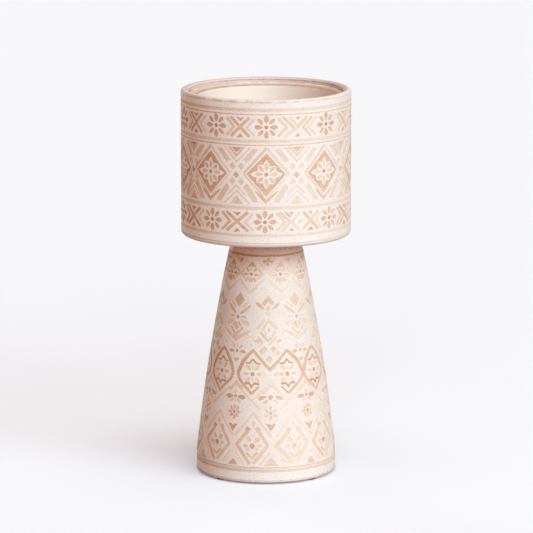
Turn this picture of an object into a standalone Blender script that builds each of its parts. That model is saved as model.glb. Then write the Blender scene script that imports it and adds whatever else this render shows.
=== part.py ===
"""Ceramic plant stand: a drum planter with a lift-out liner, carried on a tapered hollow pedestal.

The drum has a round tenon under its floor that drops into the pedestal's open neck, with a cork ring between
them. The liner hangs by its lip on a ledge (a potter's gallery) inside the drum's rim. A rubber plug closes the
drum's drain hole, and felt pads carry the pedestal. Metres, +Z up, origin on the floor under the axis.
"""

import math

import bmesh
import bpy

# Driving dimensions of the pedestal
PEDESTAL_HEIGHT = 0.352
PEDESTAL_WALL = 0.010
FOOT_DIAMETER = 0.206
FOOT_BAND_HEIGHT = 0.030
FOOT_EDGE_ROUND = 0.003
FOOT_RING_WIDTH = 0.020
FOOT_RING_HEIGHT = 0.014
NECK_DIAMETER = 0.100
NECK_WALL = 0.010
NECK_EDGE_ROUND = 0.002
NECK_SOCKET_DEPTH = 0.030
SIDE_SWELL = 0.0043

# Driving dimensions of the felt pads and the cork ring
PAD_DIAMETER = 0.014
PAD_THICKNESS = 0.002
PAD_COUNT = 4
SEAT_RING_THICKNESS = 0.002
SEAT_RING_INSET = 0.0015

# Driving dimensions of the drum
DRUM_DIAMETER = 0.250
DRUM_HEIGHT = 0.215
DRUM_WALL = 0.011
DRUM_FLOOR = 0.012
RIM_ROUND = 0.0045
DRUM_BASE_ROUND = 0.006
DRUM_INNER_ROUND = 0.008
GALLERY_DEPTH = 0.0145
GALLERY_WIDTH = 0.0085
GALLERY_THICKNESS = 0.005
TENON_DEPTH = 0.022
TENON_WALL = 0.008
TENON_CLEARANCE = 0.0012
TENON_DRAFT = 0.001
TENON_EDGE_ROUND = 0.002
DRAIN_DIAMETER = 0.022

# Driving dimensions of the liner
LIP_DROP = 0.004
LIP_SLOPE = 0.0065
LIP_CLEARANCE = 0.001
LIP_EDGE_ROUND = 0.002
LINER_CLEARANCE = 0.0015
LINER_WALL = 0.006
LINER_FLOOR = 0.008
LINER_TAPER = 0.010
LINER_CORNER_ROUND = 0.012
RESERVOIR_DEPTH = 0.026
WEEP_HOLE_DIAMETER = 0.010
WEEP_HOLE_COUNT = 5
WEEP_CIRCLE_DIAMETER = 0.090

# Driving dimensions of the drain plug
PLUG_CLEARANCE = 0.0007
PLUG_RIB_HEIGHT = 0.0004
PLUG_RIB_COUNT = 2
PLUG_STEM_LENGTH = 0.011
PLUG_STEM_DRAFT = 0.0005
PLUG_FLANGE_WIDTH = 0.006
PLUG_FLANGE_THICKNESS = 0.003
PLUG_KNOB_DIAMETER = 0.012
PLUG_KNOB_HEIGHT = 0.005
PLUG_EDGE_ROUND = 0.001

# Gap left between pieces that rest on each other
SEAT_GAP = 0.0003

# Facets
LARGE_STEPS = 56
SMALL_STEPS = 20
HOLE_STEPS = 12
SIDE_POINTS = 8
HOLLOW_POINTS = 5
ARC_SAG = 0.0002

# Levels that stack up from the floor
PEDESTAL_BOTTOM = PAD_THICKNESS + SEAT_GAP
PEDESTAL_TOP = PEDESTAL_BOTTOM + PEDESTAL_HEIGHT
SEAT_RING_BOTTOM = PEDESTAL_TOP + SEAT_GAP
DRUM_BOTTOM = SEAT_RING_BOTTOM + SEAT_RING_THICKNESS + SEAT_GAP
DRUM_FLOOR_TOP = DRUM_BOTTOM + DRUM_FLOOR
RIM_TOP = DRUM_BOTTOM + DRUM_HEIGHT
GALLERY_TOP = RIM_TOP - GALLERY_DEPTH
LINER_BOTTOM = DRUM_FLOOR_TOP + RESERVOIR_DEPTH

# Radii that pieces share
FOOT_RADIUS = FOOT_DIAMETER / 2
NECK_RADIUS = NECK_DIAMETER / 2
NECK_BORE = NECK_RADIUS - NECK_WALL
DRUM_RADIUS = DRUM_DIAMETER / 2
DRUM_BORE = DRUM_RADIUS - DRUM_WALL
DRAIN_RADIUS = DRAIN_DIAMETER / 2
LEDGE_RADIUS = DRUM_BORE - GALLERY_WIDTH
LINER_RADIUS = LEDGE_RADIUS - LINER_CLEARANCE
MOUTH_RADIUS = LINER_RADIUS - LINER_WALL


def clear_scene():
    """Removes whatever the file held."""
    for old in list(bpy.data.objects):
        bpy.data.objects.remove(old)


def clay(name, colour, roughness, metallic=0.0):
    """A plain finish: colour is linear RGB."""
    finish = bpy.data.materials.new(name)
    finish.use_nodes = True
    shader = finish.node_tree.nodes["Principled BSDF"]
    shader.inputs["Base Color"].default_value = (*colour, 1.0)
    shader.inputs["Roughness"].default_value = roughness
    shader.inputs["Metallic"].default_value = metallic
    return finish


def rounded(corners, closed=True):
    """Points of an outline whose corners are (radius, height, fillet). Fillets become arcs."""
    points = []
    count = len(corners)
    for i, (r, z, fillet) in enumerate(corners):
        at_end = not closed and i in (0, count - 1)
        if fillet <= 0 or at_end:
            points.append((r, z))
            continue
        before, after = corners[i - 1], corners[(i + 1) % count]
        points += corner_arc((r, z), before[:2], after[:2], fillet)
    return points


def corner_arc(corner, before, after, fillet):
    """The arc of radius fillet that replaces a corner, tangent to both of its sides."""
    away = []
    for other in (before, after):
        run, rise = other[0] - corner[0], other[1] - corner[1]
        length = math.hypot(run, rise)
        away.append((run / length, rise / length))
    (ax, ay), (bx, by) = away
    half = math.acos(max(-1.0, min(1.0, ax * bx + ay * by))) / 2
    reach = fillet / math.sin(half)
    middle = math.hypot(ax + bx, ay + by)
    centre = (corner[0] + (ax + bx) / middle * reach, corner[1] + (ay + by) / middle * reach)
    tangent = fillet / math.tan(half)
    first = math.atan2(corner[1] + ay * tangent - centre[1], corner[0] + ax * tangent - centre[0])
    last = math.atan2(corner[1] + by * tangent - centre[1], corner[0] + bx * tangent - centre[0])
    sweep = (last - first + math.pi) % (2 * math.pi) - math.pi
    step = 2 * math.acos(max(0.0, 1 - ARC_SAG / fillet))
    steps = max(2, math.ceil(abs(sweep) / step))
    angles = [first + sweep * k / steps for k in range(steps + 1)]
    return [(centre[0] + fillet * math.cos(a), centre[1] + fillet * math.sin(a)) for a in angles]


def turned(name, outline, finish, steps, closed=True):
    """A solid of revolution about Z. The outline runs counterclockwise in (radius, height).

    A closed outline stays off the axis; an open one starts and ends on it.
    """
    shape = bmesh.new()
    rings = []
    for r, z in outline:
        if r < 1e-7:
            rings.append([shape.verts.new((0.0, 0.0, z))])
            continue
        angles = [2 * math.pi * k / steps for k in range(steps)]
        rings.append([shape.verts.new((r * math.cos(a), r * math.sin(a), z)) for a in angles])
    pairs = list(zip(rings, rings[1:]))
    if closed:
        pairs.append((rings[-1], rings[0]))
    for lower, upper in pairs:
        for k in range(steps):
            here, there = k, (k + 1) % steps
            corners = [lower[here % len(lower)], lower[there % len(lower)]]
            corners += [upper[there % len(upper)], upper[here % len(upper)]]
            shape.faces.new(list(dict.fromkeys(corners)))
    mesh = bpy.data.meshes.new(name)
    shape.to_mesh(mesh)
    shape.free()
    mesh.shade_smooth()
    mesh.set_sharp_from_angle(angle=math.radians(35))
    mesh.materials.append(finish)
    piece = bpy.data.objects.new(name, mesh)
    bpy.context.scene.collection.objects.link(piece)
    return piece


def pedestal_side(height):
    """Outer radius of the pedestal at a height over its bottom: a straight taper with a slight swell."""
    share = (height - FOOT_BAND_HEIGHT) / (PEDESTAL_HEIGHT - FOOT_BAND_HEIGHT)
    share = max(0.0, min(1.0, share))
    straight = FOOT_RADIUS + (NECK_RADIUS - FOOT_RADIUS) * share
    return straight + 4 * SIDE_SWELL * share * (1 - share)


def heights_between(low, high, count):
    """Evenly spaced heights from low to high, both included."""
    return [low + (high - low) * k / (count - 1) for k in range(count)]


def build_pedestal(finish):
    """The hollow tapered stand, open at its foot and at its neck."""
    shoulder = PEDESTAL_HEIGHT - NECK_SOCKET_DEPTH
    chamfer = pedestal_side(shoulder) - PEDESTAL_WALL - NECK_BORE
    side = heights_between(FOOT_BAND_HEIGHT, PEDESTAL_HEIGHT, SIDE_POINTS)[:-1]
    outer = [(FOOT_RADIUS, 0.0, FOOT_EDGE_ROUND)]
    outer += [(pedestal_side(h), h, 0.0) for h in side]
    neck = [
        (NECK_RADIUS, PEDESTAL_HEIGHT, NECK_EDGE_ROUND),
        (NECK_BORE, PEDESTAL_HEIGHT, NECK_EDGE_ROUND),
        (NECK_BORE, shoulder, 0.0),
    ]
    hollow_top = shoulder - chamfer
    inner = [
        (pedestal_side(h) - PEDESTAL_WALL, h, 0.0)
        for h in reversed(heights_between(FOOT_BAND_HEIGHT, hollow_top, HOLLOW_POINTS))
    ]
    foot = [
        (FOOT_RADIUS - FOOT_RING_WIDTH, FOOT_RING_HEIGHT, FOOT_EDGE_ROUND),
        (FOOT_RADIUS - FOOT_RING_WIDTH, 0.0, FOOT_EDGE_ROUND),
    ]
    piece = turned("pedestal_cone", rounded(outer + neck + inner + foot), finish, LARGE_STEPS)
    piece.location.z = PEDESTAL_BOTTOM
    return piece


def build_foot_pads(finish):
    """Felt discs under the pedestal's foot ring."""
    radius = PAD_DIAMETER / 2
    outline = [(0.0, 0.0), (radius, 0.0), (radius, PAD_THICKNESS), (0.0, PAD_THICKNESS)]
    circle = FOOT_RADIUS - FOOT_RING_WIDTH / 2
    for k in range(PAD_COUNT):
        angle = 2 * math.pi * (k + 0.5) / PAD_COUNT
        pad = turned(f"foot_pad_{k + 1}", outline, finish, SMALL_STEPS, closed=False)
        pad.location = (circle * math.cos(angle), circle * math.sin(angle), 0.0)


def build_seat_ring(finish):
    """The flat cork ring between the pedestal's neck and the drum."""
    inside, outside = NECK_BORE + SEAT_RING_INSET, NECK_RADIUS - SEAT_RING_INSET
    outline = [(outside, 0.0), (outside, SEAT_RING_THICKNESS), (inside, SEAT_RING_THICKNESS), (inside, 0.0)]
    piece = turned("seat_ring", outline, finish, LARGE_STEPS)
    piece.location.z = SEAT_RING_BOTTOM
    return piece


def build_drum(finish):
    """The outer pot: rounded rim, inner ledge for the liner, drain hole, and the tenon under its floor."""
    tenon = NECK_BORE - TENON_CLEARANCE
    gallery = DRUM_HEIGHT - GALLERY_DEPTH
    outline = rounded(
        [
            (DRAIN_RADIUS, 0.0, 0.0),
            (tenon - TENON_WALL, 0.0, 0.0),
            (tenon - TENON_WALL, -TENON_DEPTH, TENON_EDGE_ROUND),
            (tenon - TENON_DRAFT, -TENON_DEPTH, TENON_EDGE_ROUND),
            (tenon, 0.0, 0.0),
            (DRUM_RADIUS, 0.0, DRUM_BASE_ROUND),
            (DRUM_RADIUS, DRUM_HEIGHT, RIM_ROUND),
            (DRUM_BORE, DRUM_HEIGHT, RIM_ROUND),
            (DRUM_BORE, gallery, 0.0),
            (LEDGE_RADIUS, gallery, 0.0),
            (LEDGE_RADIUS, gallery - GALLERY_THICKNESS, 0.0),
            (DRUM_BORE, gallery - GALLERY_THICKNESS - GALLERY_WIDTH, 0.0),
            (DRUM_BORE, DRUM_FLOOR, DRUM_INNER_ROUND),
            (DRAIN_RADIUS, DRUM_FLOOR, 0.0),
        ]
    )
    piece = turned("planter_drum", outline, finish, LARGE_STEPS)
    piece.location.z = DRUM_BOTTOM
    return piece


def build_liner(finish):
    """The inner pot that hangs by its sloping lip, with weep holes in its floor."""
    lip_radius = DRUM_BORE - LIP_CLEARANCE
    lip_top = RIM_TOP - LIP_DROP
    lip_bottom = GALLERY_TOP + SEAT_GAP
    mouth = lip_top - LIP_SLOPE
    floor_outside = LINER_RADIUS - LINER_TAPER
    floor_inside = MOUTH_RADIUS - LINER_TAPER
    outline = rounded(
        [
            (0.0, LINER_BOTTOM, 0.0),
            (floor_outside, LINER_BOTTOM, LINER_CORNER_ROUND),
            (LINER_RADIUS, lip_bottom, 0.0),
            (lip_radius, lip_bottom, 0.0),
            (lip_radius, lip_top, LIP_EDGE_ROUND),
            (MOUTH_RADIUS, mouth, LIP_EDGE_ROUND),
            (floor_inside, LINER_BOTTOM + LINER_FLOOR, LINER_CORNER_ROUND),
            (0.0, LINER_BOTTOM + LINER_FLOOR, 0.0),
        ],
        closed=False,
    )
    piece = turned("liner_pot", outline, finish, LARGE_STEPS, closed=False)
    drill_weep_holes(piece)
    return piece


def drill_weep_holes(liner):
    """Cuts the ring of weep holes through the liner's floor."""
    shape = bmesh.new()
    circle = WEEP_CIRCLE_DIAMETER / 2
    for k in range(WEEP_HOLE_COUNT):
        angle = 2 * math.pi * k / WEEP_HOLE_COUNT + math.pi / 2
        drill = bmesh.ops.create_cone(
            shape,
            cap_ends=True,
            segments=HOLE_STEPS,
            radius1=WEEP_HOLE_DIAMETER / 2,
            radius2=WEEP_HOLE_DIAMETER / 2,
            depth=3 * LINER_FLOOR,
        )
        place = (circle * math.cos(angle), circle * math.sin(angle), LINER_BOTTOM + LINER_FLOOR / 2)
        bmesh.ops.translate(shape, vec=place, verts=drill["verts"])
    mesh = bpy.data.meshes.new("weep_hole_drills")
    shape.to_mesh(mesh)
    shape.free()
    drills = bpy.data.objects.new("weep_hole_drills", mesh)
    bpy.context.scene.collection.objects.link(drills)
    drills.hide_render = True
    drills.display_type = "WIRE"
    cut = liner.modifiers.new("weep_holes", "BOOLEAN")
    cut.operation = "DIFFERENCE"
    cut.object = drills


def build_plug(finish):
    """The rubber plug: a ribbed stem in the drain hole, a sealing flange and a knob to pull it by."""
    stem = DRAIN_RADIUS - PLUG_CLEARANCE
    flange = DRAIN_RADIUS + PLUG_FLANGE_WIDTH
    top = PLUG_FLANGE_THICKNESS
    pitch = PLUG_STEM_LENGTH / (PLUG_RIB_COUNT + 1)
    rib_half = pitch / 5
    corners = [(0.0, -PLUG_STEM_LENGTH, 0.0), (stem - PLUG_STEM_DRAFT, -PLUG_STEM_LENGTH, PLUG_EDGE_ROUND)]
    for k in range(PLUG_RIB_COUNT):
        middle = -PLUG_STEM_LENGTH + pitch * (k + 1)
        corners += [
            (stem, middle - rib_half, 0.0),
            (stem + PLUG_RIB_HEIGHT, middle, 0.0),
            (stem, middle + rib_half, 0.0),
        ]
    corners += [
        (stem, 0.0, 0.0),
        (flange, 0.0, 0.0),
        (flange, top, PLUG_EDGE_ROUND),
        (PLUG_KNOB_DIAMETER / 2, top, 0.0),
        (PLUG_KNOB_DIAMETER / 2, top + PLUG_KNOB_HEIGHT, PLUG_EDGE_ROUND),
        (0.0, top + PLUG_KNOB_HEIGHT, 0.0),
    ]
    piece = turned("drain_plug", rounded(corners, closed=False), finish, SMALL_STEPS, closed=False)
    piece.location.z = DRUM_FLOOR_TOP + SEAT_GAP
    return piece


def main():
    clear_scene()
    slip = clay("slip_coated_clay", (0.76, 0.64, 0.54), 0.75)
    glaze = clay("cream_glaze", (0.80, 0.70, 0.58), 0.45)
    cork = clay("cork", (0.38, 0.24, 0.13), 0.9)
    rubber = clay("grey_rubber", (0.09, 0.09, 0.09), 0.7)
    felt = clay("brown_felt", (0.10, 0.07, 0.05), 1.0)
    build_pedestal(slip)
    build_foot_pads(felt)
    build_seat_ring(cork)
    build_drum(slip)
    build_liner(glaze)
    build_plug(rubber)


main()
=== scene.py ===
import math
import random

import bmesh
import bpy
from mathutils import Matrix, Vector, noise
from mathutils.geometry import delaunay_2d_cdt


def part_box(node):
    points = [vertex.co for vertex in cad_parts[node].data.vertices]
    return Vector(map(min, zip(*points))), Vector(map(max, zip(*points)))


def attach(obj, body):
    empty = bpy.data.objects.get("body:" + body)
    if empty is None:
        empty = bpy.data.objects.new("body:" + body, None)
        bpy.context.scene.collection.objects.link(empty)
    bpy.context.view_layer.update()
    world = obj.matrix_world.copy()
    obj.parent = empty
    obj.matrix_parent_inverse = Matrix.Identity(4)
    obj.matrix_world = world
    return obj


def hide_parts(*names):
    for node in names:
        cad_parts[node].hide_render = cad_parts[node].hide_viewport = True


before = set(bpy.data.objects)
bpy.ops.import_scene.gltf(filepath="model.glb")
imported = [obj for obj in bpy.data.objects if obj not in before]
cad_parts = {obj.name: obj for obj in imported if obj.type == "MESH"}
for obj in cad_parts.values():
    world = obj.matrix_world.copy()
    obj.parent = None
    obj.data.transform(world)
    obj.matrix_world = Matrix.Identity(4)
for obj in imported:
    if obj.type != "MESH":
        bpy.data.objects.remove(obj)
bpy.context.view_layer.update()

# A ceramic plant stand: drum and pedestal with ornament cut through a pale slip, and a glazed liner.
# Sizes are in millimetres. On a wall, x runs round it from its front middle to the right, and z runs up.
MM = 0.001

# Places of the pieces, from the frame
drum_box = [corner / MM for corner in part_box("planter_drum")]
pedestal_box = [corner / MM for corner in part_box("pedestal_cone")]
liner_box = [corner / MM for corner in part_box("liner_pot")]
DRUM_RADIUS = drum_box[1].x
RIM_TOP = drum_box[1].z
FOOT_RADIUS = pedestal_box[1].x
FOOT_BOTTOM = pedestal_box[0].z
NECK_TOP = pedestal_box[1].z
LINER_BOTTOM = liner_box[0].z
LIP_TOP = liner_box[1].z
LIP_RADIUS = liner_box[1].x

# Walls and steps of the drum
DRUM_WALL = 11.0
DRUM_FLOOR = 12.0
RIM_ROUND = 4.5
BASE_ROUND = 6.0
INNER_ROUND = 8.0
GALLERY_DEPTH = 14.5
GALLERY_WIDTH = 8.5
GALLERY_THICKNESS = 5.0
TENON_DEPTH = 22.0
TENON_WALL = 8.0
TENON_CLEARANCE = 1.2
TENON_DRAFT = 1.0
TENON_ROUND = 2.0
DRAIN_RADIUS = 11.0
DRUM_BOTTOM = drum_box[0].z + TENON_DEPTH
DRUM_BORE = DRUM_RADIUS - DRUM_WALL
SOFT_EDGE = 0.7

# Marks on the drum's rim: depths under its top, widths and strengths. The brown line outside is made
# stronger on the shaded left as painted shade; the streak inside, above the liner's lip, and the dark
# groove at the liner are painted shade
RIM_LINE_DEPTH, RIM_LINE_WIDTH, RIM_LINE_TOP = 2.6, 2.2, 1.35
RIM_LINE_LEAST, RIM_LINE_SHADED_SIDE = 0.65, 0.9
STREAK_DEPTH, STREAK_WIDTH, STREAK_TOP = 3.3, 1.1, 1.2
STREAK_REACH = 2.5
STREAK_SHADE, STREAK_SHADED_SIDE = 0.34, 0.06
GROOVE_TOP, GROOVE_FULL = LIP_TOP - 1.6, LIP_TOP - 2.6

# Walls and steps of the pedestal
PEDESTAL_WALL = 10.0
NECK_RADIUS = 50.0
NECK_BORE = 40.0
NECK_ROUND = 2.0
NECK_SLACK = 0.2
SOCKET_DEPTH = 30.0
BAND_TOP = FOOT_BOTTOM + 30.0
FOOT_ROUND = 3.0
FOOT_RING_WIDTH = 20.0
FOOT_RING_HEIGHT = 14.0
SIDE_SWELL = 4.3
HOLLOW_POINTS = 9

# The liner
LINER_CLEARANCE = 1.5
LINER_WALL = 6.0
LINER_FLOOR = 8.0
LINER_TAPER = 10.0
LINER_ROUND = 12.0
LIP_SLOPE = 6.5
LIP_ROUND = 2.0
LIP_SHARES = (0.24, 0.34, 0.5, 0.74, 0.9)
RUN_SHARE, RING_SHARE, INSIDE_SHARE = 0.25, 0.74, 0.85
RUN_LENGTH = 4.0
# The brown ring at the liner's mouth, widened on the shaded right side as painted shade
RING_BREADTH, RING_SHADED_SPREAD = 0.22, 0.25
CHIP_BAND = 3.0
CHIP_DENSITY = 160
CHIP_INWARD, CHIP_DOWNWARD = 1.1, 0.7
LIP_GAP = 0.3
LIP_SEAT = RIM_TOP - GALLERY_DEPTH + LIP_GAP
LINER_RADIUS = DRUM_BORE - GALLERY_WIDTH - LINER_CLEARANCE
MOUTH_RADIUS = LINER_RADIUS - LINER_WALL
WEEP_HOLE_RADIUS = 5.0
WEEP_HOLE_COUNT = 5
WEEP_HOLE_SIDES = 24
WEEP_CIRCLE_RADIUS = 45.0

# Facets
COLUMNS = 240
GRID = 5.0
OUTLINE_STEP = 2.2
SEAM_MARGIN = 1.0
NO_DISTANCE = 1e-6
CLEAR_OF_OUTLINE = 1.3
LEAF_POINTS = 9
DOT_POINTS = 14
ARC_STEP = math.radians(15)
ARC_SLACK = 0.01
SHARP = math.radians(38)
WELD = 2e-6

# Ornament: its depth, how far a hand strays from the drawing, and how tones change to right and left:
# they fade on the lit right as painted light and deepen on the shaded left as painted shade
CUT_DEPTH = 0.35
WANDER = 0.28
WANDER_LENGTH = 7.0
HAND_SEED = 7
HAND_TILT = 0.6
HAND_SIZE = 0.015
HAND_TONE = 0.06
SPECK_POINTS = 9
SPECK_FLATNESS = 0.45
SPECK_CLEARANCE = 8
SPECK_SIZES = (0.4, 1.4)
SPECK_EDGES = (0.6, 1.2)
SPECK_TONES = (0.6, 1.3)
BARE = 0.0
LIT_SIDE_FADE = 0.55
FADELESS_TONE = 1.15
SHADED_SIDE_DEEPEN = 0.45

# States of a surface, kept at its points. Besides real brown marks, tinted slip and bare body, they also
# carry painted shade under the drum on the pedestal, along the drum's rim and in the groove at the liner, and
# painted highlights on the liner's lip
BARE_CLAY = 0.5
# The level that paints shade in the groove at the liner
GROOVE_SHADE = 1.0
POINT_LAYERS = ("wear_and_shade", "haze_and_shade", "clay_and_shade", "glaze_glint")

# A fixed seed, so that outlines wander in the same way on every run
noise.seed_set(HAND_SEED)


# Profiles and turned meshes

def rounded(corners):
    """Points of a profile whose corners are (radius, height, fillet). Fillets become arcs."""
    points = []
    for k, (r, z, fillet) in enumerate(corners):
        if fillet:
            points += corner_arc((r, z), corners[k - 1][:2], corners[k + 1][:2], fillet)
        else:
            points.append((r, z))
    return points


def unit(ax, ay):
    length = math.hypot(ax, ay)
    return ax / length, ay / length


def corner_arc(corner, before, after, fillet):
    """The arc of radius fillet that replaces a corner, tangent to both of its sides."""
    ax, ay = unit(before[0] - corner[0], before[1] - corner[1])
    bx, by = unit(after[0] - corner[0], after[1] - corner[1])
    half = math.acos(max(-1.0, min(1.0, ax * bx + ay * by))) / 2
    cx, cy = unit(ax + bx, ay + by)
    reach = fillet / math.sin(half)
    centre = (corner[0] + cx * reach, corner[1] + cy * reach)
    tangent = fillet / math.tan(half)
    first = math.atan2(corner[1] + ay * tangent - centre[1], corner[0] + ax * tangent - centre[0])
    last = math.atan2(corner[1] + by * tangent - centre[1], corner[0] + bx * tangent - centre[0])
    sweep = (last - first + math.pi) % (2 * math.pi) - math.pi
    steps = max(2, math.ceil(abs(sweep) / ARC_STEP))
    angles = [first + sweep * k / steps for k in range(steps + 1)]
    return [(centre[0] + fillet * math.cos(a), centre[1] + fillet * math.sin(a)) for a in angles]


def on_wall(share, radius, z):
    """A point in metres, at a share of a full turn from the front middle."""
    angle = 2 * math.pi * share
    return Vector((radius * math.sin(angle), -radius * math.cos(angle), z)) * MM


def ridge(distance, width, top=1.0):
    """A value that falls from top by one in each width away from the middle, down to nothing."""
    return max(0.0, top - abs(distance) / width)


def add_object(name, data):
    made = bpy.data.objects.new(name, data)
    bpy.context.scene.collection.objects.link(made)
    return made


def profile_lengths(profile):
    """Distance along a profile to each of its points."""
    lengths = [0.0]
    for (ra, za), (rb, zb) in zip(profile, profile[1:]):
        lengths.append(lengths[-1] + math.hypot(rb - ra, zb - za))
    return lengths


class Solid:
    """A mesh being built, with its bake map, the tone of ink on each face and the state of each point."""

    def __init__(self):
        self.mesh = bmesh.new()
        self.bake = self.mesh.loops.layers.uv.new("OFBake")
        self.ink = self.mesh.faces.layers.float.new("ink")
        self.layers = {name: self.mesh.verts.layers.float.new(name) for name in POINT_LAYERS}

    def point(self, place, **state):
        made = self.mesh.verts.new(place)
        for name, value in state.items():
            made[self.layers[name]] = value
        return made

    def face(self, points, places, tone=BARE):
        """One face, with its places on the bake map and its tone."""
        made = self.mesh.faces.new(points)
        made[self.ink] = tone
        for corner, place in zip(made.loops, places):
            corner[self.bake].uv = place

    def turn(self, profile, start, total, state=None, uneven=None, columns=COLUMNS, centre=Vector()):
        """Turns a profile about an upright line. It takes up the bake map from start on, of total length."""
        rings = []
        for k, (r, z) in enumerate(profile):
            if not r:
                rings.append([self.point(centre + Vector((0.0, 0.0, z * MM)))])
                continue
            ring = []
            for column in range(columns):
                share = column / columns - 0.5
                dr, dz = uneven(k, share) if uneven else (0.0, 0.0)
                surface = state(r, z, share) if state else {}
                ring.append(self.point(centre + on_wall(share, r + dr, z + dz), **surface))
            rings.append(ring)
        heights = [(start + length) / total for length in profile_lengths(profile)]
        for k, (lower, upper) in enumerate(zip(rings, rings[1:])):
            for here in range(columns):
                there = (here + 1) % columns
                left, right = here / columns, (here + 1) / columns
                corners = [
                    (lower[here % len(lower)], (left, heights[k])),
                    (lower[there % len(lower)], (right, heights[k])),
                    (upper[there % len(upper)], (right, heights[k + 1])),
                    (upper[here % len(upper)], (left, heights[k + 1])),
                ]
                if len(lower) == 1:
                    corners.pop(1)
                if len(upper) == 1:
                    corners.pop()
                self.face([c[0] for c in corners], [c[1] for c in corners])

    def finish(self, name, finish):
        """The object, with its seams welded and its curved faces smooth."""
        bmesh.ops.remove_doubles(self.mesh, verts=self.mesh.verts, dist=WELD)
        made = bpy.data.meshes.new(name)
        self.mesh.to_mesh(made)
        self.mesh.free()
        made.shade_smooth()
        made.set_sharp_from_angle(angle=SHARP)
        made.materials.append(finish)
        return add_object(name, made)


# Outlines of the ornament, and shapes, which are outlines with a tone of ink

def turned_by(outline, degrees):
    """An outline turned about its own origin."""
    c, s = math.cos(math.radians(degrees)), math.sin(math.radians(degrees))
    return [(x * c - z * s, x * s + z * c) for x, z in outline]


def mirrored(outline):
    return [(-x, z) for x, z in outline]


def moved(outline, x, z):
    return [(px + x, pz + z) for px, pz in outline]


def disc(radius, points=DOT_POINTS):
    angles = [2 * math.pi * k / points for k in range(points)]
    return [(radius * math.cos(a), radius * math.sin(a)) for a in angles]


def dot(radius, tone, z=0):
    return moved(disc(radius), 0, z), tone


def diamond(half_width, half_height, tone, x=0, z=0):
    return [(x + half_width, z), (x, z + half_height), (x - half_width, z), (x, z - half_height)], tone


def leaf(base, tip, width, bow, tone, lean=1.15):
    """A leaf from base to tip. A bow near 1 has pointed ends, and near 0.4 round ones."""
    ax, az = tip[0] - base[0], tip[1] - base[1]
    ux, uz = unit(ax, az)
    left, right = [base], []
    for k in range(1, LEAF_POINTS):
        t = k / LEAF_POINTS
        half = width / 2 * math.sin(math.pi * t ** lean) ** bow
        x, z = base[0] + ax * t, base[1] + az * t
        left.append((x + uz * half, z - ux * half))
        right.append((x - uz * half, z + ux * half))
    return left + [tip] + right[::-1], tone


def strip(path, width, tone):
    """A strip along a path, mitred at its corners, of one width or of a width at each point."""
    widths = width if hasattr(width, "__len__") else [width] * len(path)
    left, right = [], []
    ways = [unit(bx - ax, bz - az) for (ax, az), (bx, bz) in zip(path, path[1:])]
    for k, (x, z) in enumerate(path):
        meeting = ways[max(0, k - 1):k + 1]
        ux, uz = unit(sum(way[0] for way in meeting), sum(way[1] for way in meeting))
        reach = widths[k] / 2 / (ux * meeting[0][0] + uz * meeting[0][1])
        left.append((x - uz * reach, z + ux * reach))
        right.append((x + uz * reach, z - ux * reach))
    return right + left[::-1], tone


def pair(shape, other_tone=None):
    """A shape and its mirror image."""
    outline, tone = shape
    return [shape, (mirrored(outline), tone if other_tone is None else other_tone)]


def quarters(*shapes):
    """Shapes that come back at each quarter of a turn."""
    return [(turned_by(outline, 90 * k), tone) for k in range(4) for outline, tone in shapes]


# Motifs of the drum: shapes round their own origin, later ones over earlier ones

# Eight petals round a dot
ROSETTE = [
    *quarters(
        leaf((4.7, 0), (17.2, 0), 7.2, 0.72, 0.85, lean=1.25),
        leaf((4, 4.3), (12.2, 12.4), 5.6, 0.55, 0.79, lean=1.1),
    ),
    dot(2.9, 1.2),
]

# A loose lattice of strips, for the wide gap of the upper frieze
WIDE_CROSS = [
    strip([(-30.4, 12.6), (-18.2, -0.6), (-30.2, -13.2)], 4.4, 0.55),
    strip([(-23.6, 14.4), (-7.6, -1)], 3.8, 0.66),
    strip([(-14.4, 13.4), (-0.6, 0.2)], 4.2, 0.47),
    strip([(13.6, 13.6), (-0.6, 0.4)], 4.4, 0.66),
    strip([(-1, 0.2), (-22, -15.2)], 5.6, 0.42),
    strip([(21.6, 13.2), (7, -1.2), (19.8, -15)], 3.9, 0.66),
    strip([(28.6, 12.2), (15.6, -1.8), (27.6, -13.8)], 4.3, 0.47),
    ([(-5.4, 13.6), (3.8, 14.4), (-1, 9.8)], 0.9),
    ([(-6.2, -14.6), (3.8, -14.6), (-1.2, -8.8)], 0.9),
]

# Two crosses with a small diamond between them, for the widest gap of the lower frieze
TWIN_CROSSES = [
    strip([(-33.2, 12.4), (-20.4, -0.4), (-32.8, -13.2)], 3.9, 0.46),
    strip([(-29.2, 14.2), (-11.6, -0.4)], 3.9, 0.52),
    strip([(-20.6, 14.2), (-12.6, 6.8)], 2.9, 0.8),
    strip([(-11.6, -0.2), (-25.4, -14.2)], 5, 0.44),
    strip([(2.2, 12.8), (-11, -0.6), (1.6, -13.6)], 4.6, 0.36),
    ([(-14.4, 13.6), (-7.8, 13.8), (-11.2, 9.6)], 0.95),
    ([(-14.2, -13.6), (-5.8, -13.6), (-10.6, -9)], 0.95),
    diamond(3.6, 3.4, 0.42, 2.4, -0.8),
    strip([(7.4, 13.2), (33.2, -13.6)], 4.2, 0.7),
    strip([(6.6, -12.4), (32.8, 13.6)], 4, 0.6),
    ([(14.8, 13.8), (24.4, 14), (22, 12), (20.2, 7.8)], 0.78),
    ([(13.4, -14.6), (25.6, -14.2), (19.8, -8.4)], 0.82),
    strip([(39.2, 12.4), (28.4, 0), (38.6, -13.2)], 3.1, 0.4),
]


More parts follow.
